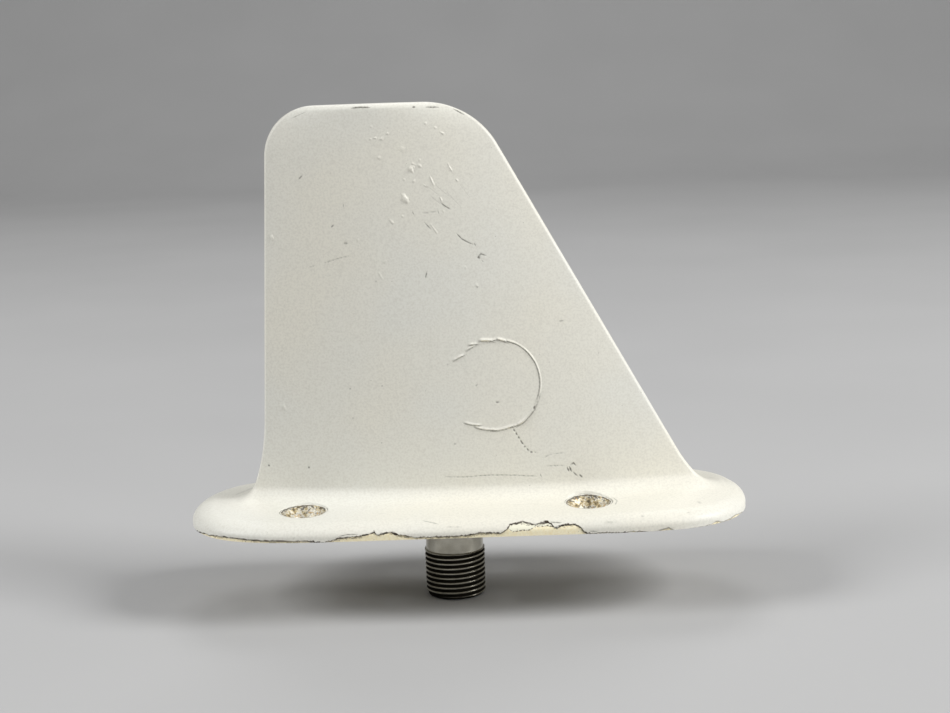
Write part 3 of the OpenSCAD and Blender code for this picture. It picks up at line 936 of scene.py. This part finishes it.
# Paint: off-white enamel, slightly warm, with faint clouds, fine orange peel and specks of dirt. The
# underside lies against the aircraft skin and is bare resin.
vertices = np.array([vertex.co for vertex in radome.data.vertices]) / MM
x, y, z = vertices.T
face, flange, edge = on_face(vertices), on_flange(vertices), on_rim(vertices)
bare_field = np.full(len(vertices), -1.0)
bare_field[edge] = bareness(vertices[edge])
primer_field = np.full(len(vertices), -1.0)
primer_rag = 0.12
primer_grain = 2.0
primer_ragged = primer_rag * grain_at(vertices[edge], primer_grain, 8)
primer_field[edge] = z[edge] + primer_ragged - np.interp(x[edge], *np.array(primer_line).T)
dirt_and_shade_field = np.zeros(len(vertices))
dirt_and_shade_field[face] = darkness(vertices[face], x[face], z[face], scratches_and_ridge_shadows + top_chips)
dirt_and_shade_field[flange] = darkness(vertices[flange], x[flange], y[flange], flange_scratches_and_shade)
rim_dirt = darkness(vertices[edge], x[edge], z[edge], rim_cracks)
dirt_and_shade_field[edge] = np.maximum(dirt_and_shade_field[edge], rim_dirt)
for name, field in (("bare", bare_field), ("dirt", dirt_and_shade_field), ("primer", primer_field)):
    layer = radome.data.attributes.new(name, "FLOAT", "POINT")
    layer.data.foreach_set("value", field.astype(np.float32))

bare = place.add("Attribute", {"attribute_name": "bare"}, out="Fac")
dirt = place.add("Attribute", {"attribute_name": "dirt"}, out="Fac")
primer = place.add("Attribute", {"attribute_name": "primer"}, out="Fac")
under = place.add("NewGeometry", out="Normal").axes()[2].step(-0.5, -0.8)
painted_side = 1 - under
clouds = place.mottle(0.035, 2.0, 0.5)
dust = place.mottle(2.6, 3.0, 0.6)
paint_shade = clouds.shades((0.38, (0.785, 0.780, 0.715)), (0.62, (0.810, 0.788, 0.695)))
paint_shade = paint_shade.tint((0.62, 0.60, 0.53), dust.step(0.36, 0.72) * 0.45)
cells_near = place.add("TexVoronoi", None, {"Vector": place, "Scale": 0.55}, out="Distance")
specks = cells_near.step(0.06, 0.03) * place.mottle(0.31, 1.0).step(0.56, 0.60)
paint_shade = paint_shade.tint((0.22, 0.19, 0.15), specks * 0.5)
# Dark lines of dirt in cracks and scratches, with painted shadow beside the ripples and at the trailing
# edge's foot
paint_shade = paint_shade.tint((0.07, 0.065, 0.05), dirt)
resin_grain = place.mottle(3.0, 4.0, 0.6)
resin_shade = resin_grain.shades((0.35, (0.92, 0.81, 0.53)), (0.6, (0.97, 0.90, 0.66)))
primed = primer.step(-0.03, 0.03) * painted_side
resin_shade = resin_shade.tint((0.86, 0.845, 0.70), primed * 0.9)
primer_edge = abs(primer).step(0.14, 0.05) * place.mottle(3.2, 2.0).step(0.44, 0.52) * painted_side
resin_shade = resin_shade.tint((0.07, 0.05, 0.03), primer_edge * 0.9)
chipped = bare.step(-0.015, 0.015)
chipped = chipped.math("MAXIMUM", chipped, under)
shade = paint_shade.tint(resin_shade, chipped)
lip_break = place.mottle(1.4, 3.0, 0.6).step(0.36, 0.52)
forward, _, _ = place.axes()
lip = abs(bare + 0.03).step(0.21, 0.10) * (0.4 + 0.6 * lip_break)
lip = lip * (1 - 0.5 * forward.step(30.0, 40.0)) * painted_side
second_break = place.mottle(1.1, 3.0, 0.6).step(0.50, 0.56)
second_lip = abs(bare - 0.27).step(0.07, 0.02) * second_break * painted_side
crumbs = place.mottle(3.5, 2.0).step(0.66, 0.70) * bare.step(0.0, 0.25)
shade = shade.tint((0.035, 0.022, 0.012), lip)
shade = shade.tint((0.08, 0.05, 0.03), second_lip * 0.8)
shade = shade.tint((0.16, 0.11, 0.06), crumbs * 0.5)
peel = place.mottle(0.55, 2.0)
tooth = place.mottle(5.0, 2.0)
gloss = 0.42 + 0.10 * dust + 0.25 * chipped
place.finish(Base_Color=shade, Roughness=gloss, Specular_IOR_Level=0.45,
             Normal=tooth.bump(0.008, peel.bump(0.03)))
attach(radome, "root")
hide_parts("radome")

# Screw bushes: four countersunk brass bushes pressed into the flange before it was painted, so that the
# screws clamp metal and not resin. Their rims are dressed to the flange and painted over, and the paint
# has cracked along the joint. The cones are worn, stained and pitted by the screw heads.
screw_r = 2.25
csk_r = 3.95
csk_angle = 100
spigot_r = 3.3
cone_rows = 14
bush_edge = 0.08
under_paint = 0.02
dressing = 0.6
csk_depth = (csk_r - screw_r) / math.tan(math.radians(csk_angle / 2))

bush_corners = [
    (screw_r, 0.0), (spigot_r, 0.0), (spigot_r, plate_t), (bush_r, plate_t), (bush_r, flange_t),
]
cone = [(csk_r + (screw_r - csk_r) * t, flange_t - csk_depth * t) for t in np.linspace(0, 1, cone_rows)]
bush_points, bush_faces = turned(eased(bush_corners + cone, bush_edge), bush_segments)
bush_points = np.array(bush_points)

# Heights of the flange's top, looked up among close points of it
top_step = 0.25
top_columns, top_rows = np.meshgrid(np.arange(0, ring_starts[-1], top_step),
                                    np.arange(row_starts[FILLET], row_starts[WALL], top_step))
flange_skin = moulding(top_columns.ravel(), top_rows.ravel())
neighbours = 6
near_bush = 1.5 * bush_r
least_gap = 0.02


def flange_height(x, y):
    """Height of the flange's top at each place."""
    off_middle = np.hypot(flange_skin[:, 0] - x.mean(), flange_skin[:, 1] - y.mean())
    close = flange_skin[off_middle < near_bush]
    gaps = np.hypot(x[:, None] - close[:, 0], y[:, None] - close[:, 1])
    nearest = np.argsort(gaps, axis=1)[:, :neighbours]
    weights = 1 / (np.take_along_axis(gaps, nearest, 1) + least_gap)
    return (close[nearest, 2] * weights).sum(1) / weights.sum(1)


worn, place = new_finish("worn_bush")
_, _, height = place.axes()
spread = place.spread()
own = place.add("ObjectInfo", out="Random")
shifted = place.add("VectorMath", {"operation": "ADD"},
                    {0: place, 1: place.add("CombineXYZ", None, {0: own * 90.0, 1: own * 37.0})})
blots = shifted.mottle(0.7, 5.0, 0.65)
grime = shifted.mottle(2.1, 5.0, 0.65)
bush_shade = blots.shades((0.36, (0.11, 0.09, 0.055)), (0.43, (0.46, 0.36, 0.19)),
                          (0.48, (0.66, 0.57, 0.38)), (0.53, (0.82, 0.80, 0.72)),
                          (0.58, (0.50, 0.47, 0.39)), (0.65, (0.66, 0.42, 0.15)))
pits = (grime + 0.08 * spread.step(csk_r - 0.9, csk_r - 0.1)).step(0.55, 0.61)
bush_shade = bush_shade.tint((0.05, 0.042, 0.03), pits * 0.85)
ragged = shifted.mottle(1.3, 3.0)
wander = spread + 0.5 * ragged
painted = wander.step(csk_r + 0.22, csk_r + 0.30) * height.step(flange_t - 0.45, flange_t - 0.30)
bush_shade = bush_shade.tint((0.78, 0.765, 0.685), painted)
cracked = shifted.mottle(0.45, 3.0).step(0.42, 0.52)
joint = spread.step(bush_r - 0.20, bush_r - 0.10) * cracked
cone_edge = abs(wander - csk_r - 0.22).step(0.16, 0.06) * shifted.mottle(0.7, 2.0).step(0.40, 0.50)
bush_shade = bush_shade.tint((0.05, 0.042, 0.032), joint * 0.85)
bush_shade = bush_shade.tint((0.05, 0.042, 0.032), cone_edge * 0.75)
rubbed = (1 - painted) * (1 - pits)
place.finish(Base_Color=bush_shade, Metallic=0.55 * rubbed, Roughness=0.36 + 0.3 * grime,
             Normal=grime.bump(0.05))

bush_ends = {"aft": -1, "fwd": 1}
bush_sides = {"left": 1, "right": -1}
for end, end_sign in bush_ends.items():
    for side, side_sign in bush_sides.items():
        centre = np.array([end_sign * bush_x, side_sign * bush_y, 0])
        lift = np.clip((bush_points[:, 2] - flange_t) / csk_depth + 1, 0, 1)
        top = flange_height(bush_points[:, 0] + centre[0], bush_points[:, 1] + centre[1])
        dressed = bush_points + np.outer(lift * (dressing * (top - flange_t) - under_paint), (0, 0, 1))
        bush = new_piece(f"screw_bush_{end}_{side}", dressed, bush_faces, worn)
        bush.location = Vector(centre) * MM
        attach(bush, "root")
        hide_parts(f"bush_{end}_{side}")

# Studio: a pale paper sweep just under the jack, soft lamps high on both sides, a weak one lower on the
# right and one behind, and a dim even sky.
sweep_width = 2400
sweep_front = -900
sweep_bend = 900
sweep_r = 500
sweep_top = 1600
bend_steps = 16
floor_gap = 0.1
floor_z = mouth_z - floor_gap
profile = [(sweep_front, floor_z)]
for turn in np.linspace(0, quarter, bend_steps + 1):
    profile.append((sweep_bend + sweep_r * math.sin(turn), floor_z + sweep_r * (1 - math.cos(turn))))
profile.append((sweep_bend + sweep_r, sweep_top))
sweep_points = [(side * sweep_width / 2, y, z) for y, z in profile for side in (-1, 1)]
sweep_faces = [(2 * k, 2 * k + 1, 2 * k + 3, 2 * k + 2) for k in range(len(profile) - 1)]
paper, place = new_finish("studio_paper")
paper_shade = place.mottle(0.01, 2.0).shades((0.3, (0.44, 0.44, 0.44)), (0.7, (0.46, 0.46, 0.46)))
place.finish(Base_Color=paper_shade, Roughness=0.9, Specular_IOR_Level=0.2)
sweep = new_piece("studio_sweep", sweep_points, sweep_faces, paper, sharp=60)

lamp_aim = Vector((5, 0, 30))


def soft_lamp(name, place, size, watts):
    """A round lamp that looks at the blade."""
    lamp = bpy.data.lights.new(name, "AREA")
    lamp.shape = "DISK"
    lamp.size = size * MM
    lamp.energy = watts
    holder = bpy.data.objects.new(name, lamp)
    holder.location = Vector(place) * MM
    holder.rotation_euler = (lamp_aim - Vector(place)).to_track_quat("-Z", "Y").to_euler()
    bpy.context.scene.collection.objects.link(holder)


soft_lamp("right_lamp", (850, -250, 650), 500, 10.0)
soft_lamp("left_lamp", (-850, -250, 650), 500, 7.05)
soft_lamp("low_lamp", (1100, -450, 320), 400, 2.9)
soft_lamp("back_lamp", (0, 650, 900), 500, 2.3)
world = bpy.data.worlds.new("even_sky")
world.use_nodes = True
world.node_tree.nodes["Background"].inputs["Color"].default_value = (0.2, 0.2, 0.2, 1.0)
world.node_tree.nodes["Background"].inputs["Strength"].default_value = 1.0
bpy.context.scene.world = world
bpy.context.scene.view_settings.view_transform = "Standard"

# Camera: a little above the flange and square to the blade's right face, as in the photo
image_width = 950
image_height = 713
focal_pixels = 1800
origin_pixel = (447.4, 509.9)
camera_distance = 330.8
camera_rise = math.radians(10.08)
camera_turn = math.radians(0.29)
camera_roll = math.radians(-1.94)
back = Vector((math.sin(camera_turn) * math.cos(camera_rise),
               -math.cos(camera_turn) * math.cos(camera_rise),
               math.sin(camera_rise)))
level = Vector((math.cos(camera_turn), math.sin(camera_turn), 0))
right = math.cos(camera_roll) * level + math.sin(camera_roll) * back.cross(level)
up = back.cross(right)
eye = back * camera_distance
eye = eye - right * ((origin_pixel[0] - image_width / 2) * camera_distance / focal_pixels)
eye = eye + up * ((origin_pixel[1] - image_height / 2) * camera_distance / focal_pixels)
lens = bpy.data.cameras.new("camera")
lens.sensor_width = 36
lens.lens = lens.sensor_width * focal_pixels / image_width
camera = bpy.data.objects.new("camera", lens)
turned_to = Matrix((right, up, back)).transposed().to_4x4()
camera.matrix_world = Matrix.Translation(eye * MM) @ turned_to
bpy.context.scene.collection.objects.link(camera)
bpy.context.scene.camera = camera
